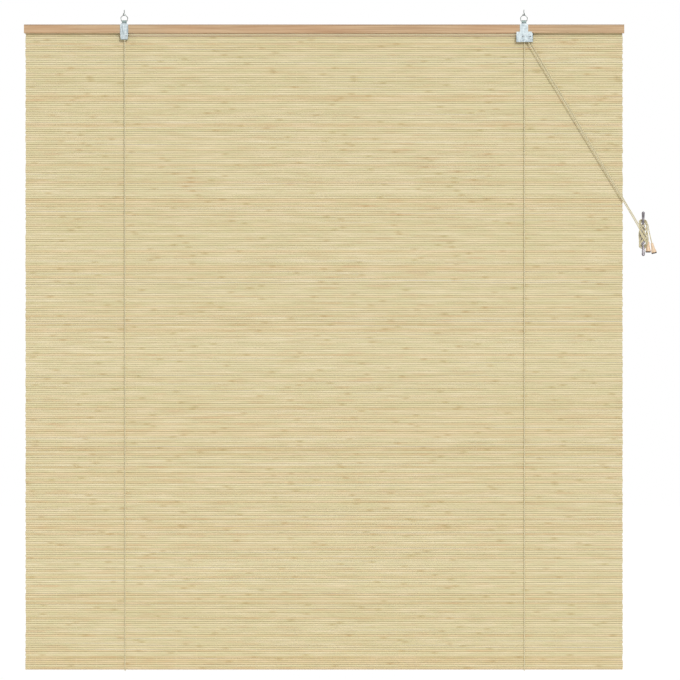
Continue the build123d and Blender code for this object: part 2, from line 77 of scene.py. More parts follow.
def addNode(tree, kind, settings=None, links=None, stops=None):
    # one node, its socket values or properties, what feeds its sockets, and a ramp's colours
    node = tree.nodes.new(kind)
    for name, value in (settings or {}).items():
        if isinstance(name, int) or name in node.inputs:
            node.inputs[name].default_value = value
        else:
            setattr(node, name, value)
    for name, source in (links or {}).items():
        tree.links.new(source, node.inputs[name])
    if stops:
        elements = node.color_ramp.elements
        while len(elements) < len(stops):
            elements.new(0.5)
        for element, (place, colour) in zip(elements, stops):
            element.position = place
            element.color = linear(colour)
    return node


def pieceName(node):
    # lower_batten becomes lowerBattenLook
    first, *rest = node.split("_")
    return first + "".join(word.capitalize() for word in rest) + "Look"


def newMaterial(name):
    material = bpy.data.materials.new(name)
    material.use_nodes = True
    tree = material.node_tree
    shader = next(n for n in tree.nodes if n.type == "BSDF_PRINCIPLED")
    return material, tree, shader


def newObject(name, data):
    made = bpy.data.objects.new(name, data)
    bpy.context.scene.collection.objects.link(made)
    return made


def meshOf(bm, name):
    mesh = bpy.data.meshes.new(name)
    bm.to_mesh(mesh)
    bm.free()
    return mesh


def finishPiece(bm, name, material, body="blind", smooth=40):
    # the bmesh becomes an object at the origin that moves with its body;
    # edges that turn by more than smooth, in degrees, stay sharp
    bmesh.ops.recalc_face_normals(bm, faces=bm.faces)
    for face in bm.faces:
        face.smooth = True
    for edge in bm.edges:
        if len(edge.link_faces) == 2:
            edge.smooth = edge.calc_face_angle(0) < math.radians(smooth)
    piece = newObject(name, meshOf(bm, name))
    piece.data.materials.append(material)
    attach(piece, body)
    return piece


# Materials

def woodMaterial(name, settings):
    # planed or turned wood: straight grain, the growth rings cut as fine lines
    material, tree, shader = newMaterial(name)
    place = addNode(tree, "ShaderNodeTexCoord").outputs["Object"]
    along = addNode(tree, "ShaderNodeMapping", {"Scale": settings["grain"]}, {"Vector": place})
    lines = addNode(tree, "ShaderNodeTexNoise", {"Scale": 1.0, "Detail": 5.0, "Roughness": 0.6},
                    {"Vector": along.outputs[0]})
    broad = addNode(tree, "ShaderNodeTexNoise", {"Scale": 3.5, "Detail": 2.0}, {"Vector": place})
    grain = addNode(tree, "ShaderNodeValToRGB", links={0: lines.outputs["Fac"]},
                    stops=[(0.36, settings["dark"]), (0.5, settings["middle"]), (0.64, settings["light"])])
    patch = addNode(tree, "ShaderNodeValToRGB", links={0: broad.outputs["Fac"]},
                    stops=[(0.4, settings["middle"]), (0.6, settings["warm"])])
    colour = addNode(tree, "ShaderNodeMix", {"data_type": "RGBA", 0: 0.35},
                     {6: grain.outputs[0], 7: patch.outputs[0]})
    # darker where the darkening attribute is set: painted shade on the rail's top edge; on a tassel,
    # painted shade in its cup and a near black foot
    edge = addNode(tree, "ShaderNodeAttribute", {"attribute_name": "paintedDark"}).outputs["Fac"]
    colour = addNode(tree, "ShaderNodeMix", {"data_type": "RGBA", 7: linear(settings["worn"])},
                     {0: edge, 6: colour.outputs[2]})
    tree.links.new(colour.outputs[2], shader.inputs["Base Color"])
    bump = addNode(tree, "ShaderNodeBump", {"Strength": 0.35, "Distance": 0.0003},
                   {"Height": lines.outputs["Fac"]})
    tree.links.new(bump.outputs[0], shader.inputs["Normal"])
    shader.inputs["Roughness"].default_value = settings["roughness"]
    return material


railWood = {
    "grain": (6, 900, 420),  # a ring every 2 to 3 mm, unbroken for 150 mm and more
    "dark": "#a27f5c", "middle": "#c0a27c", "light": "#d2b892", "warm": "#c3926b",
    "worn": "#a2886c",  # painted shade along the rail's eased top edge
    "roughness": 0.55,
}
# the battens' pine is painted paler than the rail's, as painted light that lifts the rail's and the cord's
# shadow on the lower batten
battenWoodLightened = dict(railWood, dark="#e6cfa9", middle="#f3debb", light="#f9ebd0", warm="#efd7b0")
tasselWood = {
    "grain": (500, 500, 60),
    "dark": "#d2a880", "middle": "#e6c8a4", "light": "#f1dabd", "warm": "#e3bd98",
    "worn": "#38261a",  # painted near black: painted shade on the cup's inner wall, and a dark band round the bell's foot
    "roughness": 0.38,
}

bamboo = {
    "green": "#d3cc9a", "straw": "#ddcfa3", "pale": "#e8dcb6", "peach": "#e2c69b", "tan": "#d2b788",
    "groove": "#8d7c56",  # painted shade in the grooves between the reeds; the split edges are also darker than the skin and hold dust
    "streak": (14, 300, 900),  # fibres about 1 mm apart and 70 mm long
    "drift": (11, 1, 1),  # tones change every 90 mm or so
    "joint": 0.33,  # half of the way between a stem's joints
}


def bambooMaterial():
    # split bamboo, skin side out: silky and straight fibred, every reed its own tone
    material, tree, shader = newMaterial("split bamboo, unvarnished")
    place = addNode(tree, "ShaderNodeTexCoord").outputs["Object"]
    tone, shift, edge = (addNode(tree, "ShaderNodeAttribute", {"attribute_name": name}).outputs["Fac"]
                         for name in ("reedTone", "reedShift", "reedEdge"))
    slide = addNode(tree, "ShaderNodeCombineXYZ", links={"X": shift, "Z": shift})
    moved = addNode(tree, "ShaderNodeVectorMath", {"operation": "ADD"}, {0: place, 1: slide.outputs[0]})
    along = addNode(tree, "ShaderNodeMapping", {"Scale": bamboo["streak"]}, {"Vector": moved.outputs[0]})
    fibre = addNode(tree, "ShaderNodeTexNoise", {"Scale": 1.0, "Detail": 4.0, "Roughness": 0.65},
                    {"Vector": along.outputs[0]})
    slow = addNode(tree, "ShaderNodeMapping", {"Scale": bamboo["drift"]}, {"Vector": moved.outputs[0]})
    drift = addNode(tree, "ShaderNodeTexNoise", {"Scale": 1.0, "Detail": 3.0}, {"Vector": slow.outputs[0]})
    base = addNode(tree, "ShaderNodeValToRGB", links={0: tone},
                   stops=[(0.0, bamboo["green"]), (0.3, bamboo["straw"]), (0.6, bamboo["pale"]),
                          (0.85, bamboo["peach"]), (1.0, bamboo["tan"])])
    drifted = addNode(tree, "ShaderNodeValToRGB", links={0: drift.outputs["Fac"]},
                      stops=[(0.3, bamboo["tan"]), (0.45, bamboo["green"]), (0.55, bamboo["straw"]),
                             (0.7, bamboo["pale"])])
    colour = addNode(tree, "ShaderNodeMix", {"data_type": "RGBA", 0: 0.5},
                     {6: base.outputs[0], 7: drifted.outputs[0]})
    shade = addNode(tree, "ShaderNodeValToRGB", links={0: fibre.outputs["Fac"]},
                    stops=[(0.25, "#cfc4ae"), (0.5, "#ffffff"), (0.8, "#fff8ea")])
    colour = addNode(tree, "ShaderNodeMix", {"data_type": "RGBA", "blend_type": "MULTIPLY", 0: 0.6},
                     {6: colour.outputs[2], 7: shade.outputs[0]})
    # a stem's joint is a faint darker mark across its reed
    steps = addNode(tree, "ShaderNodeSeparateXYZ", links={0: moved.outputs[0]})
    wave = addNode(tree, "ShaderNodeMath", {"operation": "PINGPONG", 1: bamboo["joint"]},
                   {0: steps.outputs["X"]})
    mark = addNode(tree, "ShaderNodeValToRGB", links={0: wave.outputs[0]},
                   stops=[(0.0, "#c8b184"), (0.006, "#e6d9b8"), (0.012, "#ffffff")])
    colour = addNode(tree, "ShaderNodeMix", {"data_type": "RGBA", "blend_type": "MULTIPLY", 0: 0.35},
                     {6: colour.outputs[2], 7: mark.outputs[0]})
    # darker towards each reed's edges: painted shade in the grooves, with the split edges' own darker tone
    # and dust
    grooveShadeAndDust = addNode(tree, "ShaderNodeMapRange", {"From Min": 0.35, "From Max": 1.0, "To Max": 0.75},
                   {0: edge})
    colour = addNode(tree, "ShaderNodeMix", {"data_type": "RGBA", 7: linear(bamboo["groove"])},
                     {0: grooveShadeAndDust.outputs[0], 6: colour.outputs[2]})
    tree.links.new(colour.outputs[2], shader.inputs["Base Color"])
    rough = addNode(tree, "ShaderNodeMapRange", {"To Min": 0.45, "To Max": 0.65},
                    {0: fibre.outputs["Fac"]})
    tree.links.new(rough.outputs[0], shader.inputs["Roughness"])
    bump = addNode(tree, "ShaderNodeBump", {"Strength": 0.4, "Distance": 0.0002},
                   {"Height": fibre.outputs["Fac"]})
    tree.links.new(bump.outputs[0], shader.inputs["Normal"])
    return material


def cordMaterial(name, light, dark, scale):
    # braided cotton: short slanting strands whose far edges fall into shade
    material, tree, shader = newMaterial(name)
    place = addNode(tree, "ShaderNodeTexCoord").outputs["Object"]
    scaled = addNode(tree, "ShaderNodeMapping", {"Scale": (scale, scale, scale)}, {"Vector": place})
    strands = addNode(tree, "ShaderNodeTexWave", {"Scale": 1.0, "Distortion": 2.0, "Detail": 1.0,
                                                 "bands_direction": "DIAGONAL"},
                      {"Vector": scaled.outputs[0]})
    fuzz = addNode(tree, "ShaderNodeTexNoise", {"Scale": 900.0, "Detail": 3.0}, {"Vector": place})
    mixed = addNode(tree, "ShaderNodeMath", {"operation": "MULTIPLY_ADD", 1: 0.6},
                    {0: strands.outputs["Fac"], 2: fuzz.outputs["Fac"]})
    colour = addNode(tree, "ShaderNodeValToRGB", links={0: mixed.outputs[0]},
                     stops=[(0.35, dark), (0.8, light)])
    tree.links.new(colour.outputs[0], shader.inputs["Base Color"])
    bump = addNode(tree, "ShaderNodeBump", {"Strength": 0.6, "Distance": 0.0003},
                   {"Height": mixed.outputs[0]})
    tree.links.new(bump.outputs[0], shader.inputs["Normal"])
    shader.inputs["Roughness"].default_value = 0.85
    shader.inputs["Sheen Weight"].default_value = 0.15
    return material


def metalMaterial(name, light, dark, roughness, grit, metallic=1.0, dull=None):
    # plated, turned, cast or moulded: soft blotches and fine grit break up the gloss; dull is the darker
    # colour painted where the piece's darkening attribute is set
    material, tree, shader = newMaterial(name)
    place = addNode(tree, "ShaderNodeTexCoord").outputs["Object"]
    blotch = addNode(tree, "ShaderNodeTexNoise", {"Scale": 140.0, "Detail": 3.0}, {"Vector": place})
    fine = addNode(tree, "ShaderNodeTexNoise", {"Scale": grit, "Detail": 2.0}, {"Vector": place})
    colour = addNode(tree, "ShaderNodeValToRGB", links={0: blotch.outputs["Fac"]},
                     stops=[(0.35, dark), (0.65, light)]).outputs[0]
    if dull:
        # painted darkening: painted shade on the cleat's upper tip, a darker grey on the straps' shoulders
        darkMask = addNode(tree, "ShaderNodeAttribute", {"attribute_name": "paintedDark"}).outputs["Fac"]
        colour = addNode(tree, "ShaderNodeMix", {"data_type": "RGBA", 7: linear(dull)},
                         {0: darkMask, 6: colour}).outputs[2]
    tree.links.new(colour, shader.inputs["Base Color"])
    spread = addNode(tree, "ShaderNodeMapRange", {"To Min": roughness * 0.75, "To Max": roughness * 1.3},
                     {0: blotch.outputs["Fac"]})
    tree.links.new(spread.outputs[0], shader.inputs["Roughness"])
    bump = addNode(tree, "ShaderNodeBump", {"Strength": 0.25, "Distance": 0.0001},
                   {"Height": fine.outputs["Fac"]})
    tree.links.new(bump.outputs[0], shader.inputs["Normal"])
    shader.inputs["Metallic"].default_value = metallic
    return material


railPine = woodMaterial("planed pine, unvarnished", railWood)
battenPineLightened = woodMaterial("planed pine, pale", battenWoodLightened)
turnedBeech = woodMaterial("turned beech, satin", tasselWood)
reedBamboo = bambooMaterial()
# strands about 0.9 mm apart along the cord and 0.25 mm along the warp
braidedCotton = cordMaterial("braided cotton cord", "#e4dab6", "#a1956d", 700.0)
warpCotton = cordMaterial("cotton warp thread", "#efe4c0", "#cdbf93", 2500.0)
# pressed sheet: bluish plating, painted a darker greenish grey on the straps' shoulders
zincPlate = metalMaterial("zinc plated sheet steel, pressed", "#bec7c9", "#9da8ac", 0.42, 2200.0,
                          dull="#84938f")
# drawn wire and turned steel are smoother; acetal has an even grey and a soft gloss
drawnWire = metalMaterial("zinc plated steel wire, drawn", "#a9aeaa", "#6c716c", 0.28, 3000.0)
brightSteel = metalMaterial("bright steel, turned", "#c9ccce", "#8f9395", 0.25, 3000.0)
greyAcetal = metalMaterial("grey acetal, moulded", "#8c8e8d", "#777978", 0.45, 1500.0, 0.0)
# dark grey: painted shade at the ends of the hanger's crease, and dark tool marks beside the lock's rivets
darkMarkSteel = metalMaterial("dark steel: painted shade at a crease, and tool marks", "#7c858c", "#535b62", 0.5, 1500.0)
# the light doesn't reach into the screw heads' crosses
darkRecess = metalMaterial("steel in shade, in a pressed cross", "#4d4f50", "#37393a", 0.5, 2000.0)
# a thin lacquer over the casting: darker than the plating, and painted dark at the end of the upper horn
# as painted shade
castZinc = metalMaterial("die cast zinc, grey lacquer", "#a6a1a6", "#7a757a", 0.38, 1200.0, 0.6,
                         dull="#4c464e")
print("materials made")


# CAD pieces that need no new shape: a merged copy, shaded smooth, with its material

def cadMesh(node):
    # a bmesh of a CAD piece in the world's frame, its doubled corners merged
    bm = bmesh.new()
    bm.from_mesh(nodes[node].data)
    bm.transform(nodes[node].matrix_world)
    bmesh.ops.remove_doubles(bm, verts=bm.verts, dist=1e-6)
    return bm


def cutAcross(bm, point, direction, clear=False):
    bmesh.ops.bisect_plane(bm, geom=bm.verts[:] + bm.edges[:] + bm.faces[:], dist=1e-7,
                           plane_co=point, plane_no=direction, clear_inner=clear)


def smoothCopy(node, body, material, paintedDark=None):
    # the last argument gives the z where the painted darkening starts and where it is full
    bm = cadMesh(node)
    if paintedDark:
        for level in paintedDark:
            cutAcross(bm, (0, 0, level), (0, 0, 1))
        # painted darkening, for the rail's top edge and the straps' shoulders
        darkening = bm.verts.layers.float.new("paintedDark")
        for vert in bm.verts:
            vert[darkening] = min(max((vert.co.z - paintedDark[0]) / (paintedDark[1] - paintedDark[0]), 0), 1)
    piece = finishPiece(bm, pieceName(node), material, body, smooth=50)
    # wide flat faces keep their own direction, so only the rounded edges shade
    flat = piece.modifiers.new("flat faces", "WEIGHTED_NORMAL")
    flat.keep_sharp = True
    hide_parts(node)


# the z between which the painted darkening grows: painted shade on the rail's top edge, and a darker grey
# on the straps' shoulders
railTopShade = (-34 * mm, -30.5 * mm)
strapShoulderDark = (-26.5 * mm, -24 * mm)
copies = {
    "headrail": ("blind", railPine, railTopShade),
    "lower_batten": ("blind", battenPineLightened),
    "foot_batten": ("blind", battenPineLightened),
    "mat_staples": ("blind", drawnWire),
    "left_hanger": ("blind", zincPlate, strapShoulderDark),
    "lock_housing": ("blind", zincPlate, strapShoulderDark),
    "hanger_screws": ("blind", brightSteel),
    "left_roller": ("left_roller", greyAcetal),
    "left_roller_pin": ("blind", brightSteel),
    "lock_pulley": ("lock_pulley", greyAcetal),
    "lock_axle": ("blind", brightSteel),
    "cord_guide_pin": ("blind", brightSteel),
    "lock_roller": ("lock_roller", brightSteel),
    "lock_roller_pin": ("lock_pin", brightSteel),
}
for copied, look in copies.items():
    smoothCopy(copied, *look)


# the cleat's horns, mm
horns = {
    "half": 55.5, "tipY": -6.0, "bow": 7.0,
    "cutY": 1.0,  # the solid's own horns lie in front of this
    "girths": ((0, 3.8), (0.35, 2.8), (0.55, 2.8), (0.928, 4.0)),  # share of the half length, radius
    "end": 0.4,  # the tip's flat, as a share of the last radius
    "sides": 40, "rings": 44,
    "darkFrom": 0.965,  # the upper tip is painted dark: painted shade
}


def hornRadius(share):
    girths = horns["girths"]
    for (low, thin), (high, thick) in zip(girths, girths[1:]):
        if share <= high:
            return thin + (thick - thin) * (share - low) / (high - low)
    along = (share - girths[-1][0]) / (1 - girths[-1][0])
    return girths[-1][1] * math.sqrt(1 - along ** 2 * (1 - horns["end"] ** 2))


def buildCleat():
    # the stem and foot are the solid's own; the horns are rounder than its flats
    bm = cadMesh("cleat")
    cutAcross(bm, (0, horns["cutY"] * mm, 0), (0, 1, 0), clear=True)
    # painted shade on the upper horn's tip
    dark = bm.verts.layers.float.new("paintedDark")
    x, _, z = middle("cleat")
    loops = []
    for k in range(horns["rings"] + 1):
        share = -math.cos(math.pi * k / horns["rings"])
        y = horns["tipY"] + horns["bow"] * (1 - share ** 2)
        place = Matrix.Translation((x, y * mm, z + share * horns["half"] * mm))
        ring = bmesh.ops.create_circle(bm, segments=horns["sides"], radius=hornRadius(abs(share)) * mm,
                                       matrix=place, cap_ends=k in (0, horns["rings"]))["verts"]
        for vert in ring:
            vert[dark] = 1.0 if share > horns["darkFrom"] else 0.0
        inRing = set(ring)
        loops.append([edge for edge in bm.edges if edge.verts[0] in inRing and edge.verts[1] in inRing])
    for low, high in zip(loops, loops[1:]):
        bmesh.ops.bridge_loops(bm, edges=low + high)
    piece = finishPiece(bm, pieceName("cleat"), castZinc, smooth=50)
    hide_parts("cleat")


buildCleat()

# what a press left on the straps' front plates, and painted shade at the hanger's crease ends, mm; x is
# from the strap's middle
pressed = {
    "sheet": 1.0,
    "depth": 0.9, "round": 0.48, "segments": 5,  # of a swelling, before it is squashed flat
    "ribX": (-8.7, -2.3, 8.9), "ribWidth": (2.8, 5.2, 2.4), "ribTop": -31.0, "ribBottom": -50.8,
    "ribProud": 0.5,
    # x, z, width, height, proud, tilt in degrees: the crease under the ribs, the lug under the crease
    "crease": (1, -52.2, 12.0, 1.2, 0.3, 0),
    "lug": (-2.6, -59.6, 8.0, 2.4, 0.45, 35),
    # painted shade at the crease's ends, as dark swellings, and dark tool marks beside the lock's two
    # rivets
    "creaseEndShades": ((-5.2, -52.3, 2.4, 1.1, 0.1, 0), (7.2, -52.3, 2.4, 1.1, 0.1, 0)),
    "toolMarks": ((-3.8, -70.2, 5.5, 0.9, 0.1, 28), (10.2, -65.8, 4.6, 1.0, 0.1, 22)),
}


def swell(bm, strap, x, z, width, height, proud, tilt):
    # a bevelled bar, squashed into a soft swelling of the strap's front
    depth = pressed["depth"] * min(width, height)
    made = bmesh.ops.create_cube(bm, size=1, matrix=Matrix.Diagonal((width, depth, height, 1)))
    edges = list({edge for vert in made["verts"] for edge in vert.link_edges})
    soft = bmesh.ops.bevel(bm, geom=edges, offset=pressed["round"] * depth, offset_type="OFFSET",
                           segments=pressed["segments"], profile=0.5, affect="EDGES", material=-1)
    skin = list({vert for face in soft["faces"] for vert in face.verts})
    plate = corner("headrail", 0).y - pressed["sheet"] * mm
    place = Matrix.Translation(((middle(strap)[0] / mm + x) * mm, plate, z * mm))
    turned = Matrix.Rotation(math.radians(-tilt), 4, "Y")
    flat = Matrix.Diagonal((mm, 2 * proud / depth * mm, mm, 1))
    bmesh.ops.transform(bm, matrix=place @ turned @ flat, verts=skin)


def buildRibs():
    bm = bmesh.new()
    tall = pressed["ribTop"] - pressed["ribBottom"]
    for x, width in zip(pressed["ribX"], pressed["ribWidth"]):
        swell(bm, "left_hanger", x, pressed["ribBottom"] + tall / 2, width, tall, pressed["ribProud"], 0)
    swell(bm, "left_hanger", *pressed["crease"])
    swell(bm, "left_hanger", *pressed["lug"])
    finishPiece(bm, "pressedRibs", zincPlate, smooth=60)


def buildMarks():
    bm = bmesh.new()
    # painted shade at the ends of the hanger's crease, as dark swellings
    for shadeSpot in pressed["creaseEndShades"]:
        swell(bm, "left_hanger", *shadeSpot)
    for mark in pressed["toolMarks"]:
        swell(bm, "lock_housing", *mark)
    finishPiece(bm, "creaseShadeAndToolMarks", darkMarkSteel, smooth=60)


buildRibs()
buildMarks()
print("hardware dressed")


# Reed mat

matSettings = {
    "reeds": 298,
    "sideways": 36,  # stretches along one reed
    "wander": 0.22 * mm,
    "waves": ((3.1, 7.3, 1.0), (8.7, 3.1, 0.6), (19.0, 1.7, 0.4)),  # of the wander: pace, phase, share
    "girth": 0.12 * mm,
    "endPlay": 0.9 * mm, "endPower": 8,
    "thickness": 0.86, "width": 1.03,  # shares of the mat's thickness and of a row's height
    "fatness": (-0.05, 0.03), "swell": 0.03, "tilt": 0.05,
    "memory": (0.8, 0.2),  # a row's slow tone: from the rows above, and by chance
    "tones": (0.45, 0.6, 0.16),  # a reed's tone: the slow one, chance, and how far down it hangs
    "edgeFrom": 0.4,
    "seed": 7,
}


def reedTemplate(length, thickness, width):
    # an eight sided flat reed, cut into short stretches so that it can wander
    bm = bmesh.new()
    turn = Matrix.Rotation(math.pi / 2, 4, "Y") @ Matrix.Rotation(math.pi / 8, 4, "Z")
    grow = 0.5 / math.cos(math.pi / 8)
    size = Matrix.Diagonal((1, thickness * grow, width * grow, 1))
    bmesh.ops.create_cone(bm, cap_ends=True, segments=8, radius1=1, radius2=1, depth=1, matrix=turn)
    bmesh.ops.transform(bm, matrix=size, verts=bm.verts)
    for vert in bm.verts:
        vert.co.x = math.copysign(length / 2, vert.co.x)
    longEdges = [e for e in bm.edges if abs(e.verts[0].co.x - e.verts[1].co.x) > length / 2]
    bmesh.ops.subdivide_edges(bm, edges=longEdges, cuts=matSettings["sideways"] - 1)
    return meshOf(bm, "reed")


def wobble(x, seed, size):
    # a smooth wander along the reed
    return size * sum(share * math.sin(x * pace + seed * phase)
                      for pace, phase, share in matSettings["waves"]) / 2


def buildMat():
    random.seed(matSettings["seed"])
    low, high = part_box("reed_mat")
    pitch = (high[2] - low[2]) / matSettings["reeds"]
    length, thickness = high[0] - low[0], high[1] - low[1]
    width = pitch * matSettings["width"]
    remembered, fresh = matSettings["memory"]
    slowTone, chanceTone, hangingTone = matSettings["tones"]
    template = reedTemplate(length - 2 * matSettings["endPlay"], thickness * matSettings["thickness"],
                            width)
    bm = bmesh.new()
    tone = bm.verts.layers.float.new("reedTone")
    edge = bm.verts.layers.float.new("reedEdge")
    shift = bm.verts.layers.float.new("reedShift")
    slow = 0.5
    for row in range(matSettings["reeds"]):
        start = len(bm.verts)
        bm.from_mesh(template)
        bm.verts.ensure_lookup_table()
        slow = remembered * slow + fresh * random.random()
        mixed = slowTone * slow + chanceTone * random.random() + hangingTone * row / matSettings["reeds"]
        reedTone = min(max(mixed, 0), 1)
        seed = random.uniform(0, 10)
        reedShift = random.uniform(0, 4)
        fat = 1 + random.uniform(*matSettings["fatness"])
        tilt = random.uniform(-matSettings["tilt"], matSettings["tilt"])
        centre = Vector((0, (low[1] + high[1]) / 2 + random.uniform(-0.5, 0.5) * matSettings["girth"],
                         high[2] - (row + 0.5) * pitch))
        ends = [random.uniform(-1, 1) * matSettings["endPlay"] for _ in range(2)]
        for vert in bm.verts[start:]:
            x, y, z = vert.co
            vert[edge] = 1.0 if abs(z) > matSettings["edgeFrom"] * width else 0.0
            stretch = (ends[0] if x < 0 else ends[1]) * abs(2 * x / length) ** matSettings["endPower"]
            grow = fat + wobble(x * 2, seed + 3, matSettings["swell"])
            vert.co = centre + Vector((x + stretch, y * grow + z * tilt,
                                       z * grow + wobble(x, seed, matSettings["wander"])))
            vert.co.y = min(max(vert.co.y, low[1]), high[1])
            vert.co.z = min(max(vert.co.z, low[2]), high[2])
            vert[tone] = reedTone
            vert[shift] = reedShift
    mat = finishPiece(bm, "bambooReedMat", reedBamboo, smooth=75)
    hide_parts("reed_mat")


buildMat()
print("reeds laid")


# Cotton warps: one strand in front of the reeds and one behind, crossing between them

warpSettings = {
    "first": -670 * mm, "spacing": 50 * mm, "count": 28,
    "edges": (-738 * mm, -721.5 * mm, 735 * mm),
    "radius": 0.38 * mm,
    "proud": 0.12 * mm,
    "lean": 0.7,  # sideways at each crossing, in radii, so the strands pass each other
}


def buildWarps(front):
    low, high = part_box("reed_mat")
    pitch = (high[2] - low[2]) / matSettings["reeds"]
    radius = warpSettings["radius"]
    side = -1 if front else 1
    face = (low if front else high)[1] + side * warpSettings["proud"]
    deep = (low[1] + high[1]) / 2
    column = bmesh.new()
    ring = bmesh.ops.create_circle(column, segments=4, radius=radius, cap_ends=False,
                                   matrix=Matrix.Translation((0, deep, high[2])))["verts"]
    edges = list({e for v in ring for e in v.link_edges})
    for step in range(2 * matSettings["reeds"]):
        # a half row down, from between the reeds to their face or back again
        made = bmesh.ops.extrude_edge_only(column, edges=edges)["geom"]
        verts = [g for g in made if isinstance(g, bmesh.types.BMVert)]
        edges = [g for g in made if isinstance(g, bmesh.types.BMEdge)]
        way = 1 if step % 2 == 0 else -1
        lean = radius * warpSettings["lean"] * way * -side
        bmesh.ops.translate(column, verts=verts, vec=(lean, (face - deep) * way, -pitch / 2))
    bmesh.ops.holes_fill(column, edges=column.edges)
    template = meshOf(column, "warp")
    bm = bmesh.new()
    places = [warpSettings["first"] + k * warpSettings["spacing"] for k in range(warpSettings["count"])]
    for x in places + list(warpSettings["edges"]):
        start = len(bm.verts)
        bm.from_mesh(template)
        bm.verts.ensure_lookup_table()
        bmesh.ops.translate(bm, verts=bm.verts[start:], vec=(x, 0, 0))
    finishPiece(bm, "frontWarps" if front else "backWarps", warpCotton, smooth=60)


buildWarps(True)
buildWarps(False)
print("warps threaded")


# Round wire and cords are curves with a round bevel

def rounded(points, radii, steps=6):
    # straight runs joined by tangent arcs, as a list of points
    line = [Vector(points[0])]
    for i, radius in enumerate(radii, 1):
        before, at, after = (Vector(points[j % len(points)]) for j in (i - 1, i, i + 1))
        back, ahead = (before - at).normalized(), (after - at).normalized()
        half = math.acos(max(min(back.dot(ahead), 1), -1)) / 2
        reach = radius / math.tan(half)
        centre = at + (back + ahead).normalized() * radius / math.sin(half)
        first, last = at + back * reach - centre, at + ahead * reach - centre
        sweep = first.angle(last)
        for k in range(steps + 1):
            share = k / steps
            arm = first * math.sin((1 - share) * sweep) + last * math.sin(share * sweep)
            line.append(centre + arm / math.sin(sweep))
    return line + [Vector(points[-1])]


def curvePiece(name, points, diameter, material, body, cyclic=False, nurbs=False, roundness=6):
    data = bpy.data.curves.new(name, "CURVE")
    data.dimensions = "3D"
    data.bevel_depth = diameter / 2
    data.bevel_resolution = roundness
    data.use_fill_caps = True
    spline = data.splines.new("NURBS" if nurbs else "POLY")
    spline.points.add(len(points) - 1)
    for point, place in zip(spline.points, points):
        point.co = (*place, 1)
    spline.use_cyclic_u = cyclic
    if nurbs:
        spline.order_u = 3
        spline.use_endpoint_u = True
        spline.resolution_u = 6
        data.resolution_u = 6
    data.materials.append(material)
    piece = newObject(name, data)
    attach(piece, body)
    return piece


# a ring's wire and its kite: half widths at the base and at the side corners, and the peak's half angle
wire = {"diameter": 2 * mm, "baseHalf": 7.2 * mm, "cornerHalf": 8.75 * mm, "peakAngle": 44,
        "baseRadius": 1.5 * mm, "cornerRadius": 3 * mm, "peakRadius": 1.8 * mm,
        "closing": 0.1 * mm}  # the last point is left out, and the curve closes over it


def buildRing(node):
    low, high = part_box(node)
    x, base = (low[0] + high[0]) / 2, low[2] + wire["diameter"] / 2
    top = high[2] - wire["diameter"] / 2
    lean = math.radians(wire["peakAngle"])
    peak = top + wire["peakRadius"] * (1 / math.sin(lean) - 1)
    cornerZ = peak - wire["cornerHalf"] / math.tan(lean)
    points = [(x, 0, base), (x + wire["baseHalf"], 0, base), (x + wire["cornerHalf"], 0, cornerZ),
              (x, 0, peak), (x - wire["cornerHalf"], 0, cornerZ), (x - wire["baseHalf"], 0, base),
              (x - wire["closing"], 0, base)]
    radii = [wire["baseRadius"], wire["cornerRadius"], wire["peakRadius"], wire["cornerRadius"],
             wire["baseRadius"]]
    ring = curvePiece(pieceName(node), rounded(points, radii)[:-1], wire["diameter"],
                      drawnWire, node, cyclic=True)
    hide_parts(node)


buildRing("left_ring")
buildRing("right_ring")

# screw hooks, mm
hook = {
    "station": 499.5, "turn": 25,
    "route": ((0, 0), (0, -1.6), (-5, -3.4), (-5, -7.4), (5, -7.4), (5, -3.4)),  # across, z
    "bends": (1.08, 1.44, 2.6, 2.6),
    # the thread's core, and the point above it
    "core": 0.95, "low": -0.8, "high": 6.0, "inset": 0.02, "steps": 24,
    "point": 8.0, "pointFlat": 0.2, "pointRound": 0.05,
    # the crest: a thin ridge that starts and ends short of the core, and rises out of it at first
    "crest": 1.25, "pitch": 1.1, "threadWire": 0.5, "start": 0.6, "short": 1.0,
    "rise": (0.75, 24), "perTurn": 12,
}


def buildThread(bm, x):
    # a turned core with a point
    low, high = hook["low"] + hook["inset"], hook["high"]
    profile = [(0, low), (hook["core"], low), (hook["core"], high),
               (hook["pointFlat"], hook["point"] - hook["pointRound"]), (0, hook["point"])]
    core = [bm.verts.new((r * mm, 0, z * mm)) for r, z in profile]
    edges = [bm.edges.new(pair) for pair in zip(core, core[1:])]
    bmesh.ops.spin(bm, geom=core + edges, cent=(0, 0, 0), axis=(0, 0, 1), angle=2 * math.pi,
                   steps=hook["steps"], use_merge=True)
    # what isn't tagged yet is this core, still at the middle
    bmesh.ops.translate(bm, vec=(x, 0, 0), verts=[vert for vert in bm.verts if not vert.tag])
    for vert in bm.verts:
        vert.tag = True


def threadLine(x):
    # the helix that the thread's crest follows
    turnsMade = (hook["high"] - hook["low"] - hook["short"]) / hook["pitch"]
    sunk, riseSteps = hook["rise"]
    line = []
    for k in range(round(turnsMade * hook["perTurn"]) + 1):
        angle = k / hook["perTurn"] * 2 * math.pi
        reach = (hook["crest"] - hook["threadWire"] / 2) * min(1, sunk + k / riseSteps)
        z = hook["low"] + hook["start"] + k / hook["perTurn"] * hook["pitch"]
        line.append((x + reach * mm * math.cos(angle), reach * mm * math.sin(angle), z * mm))
    return line


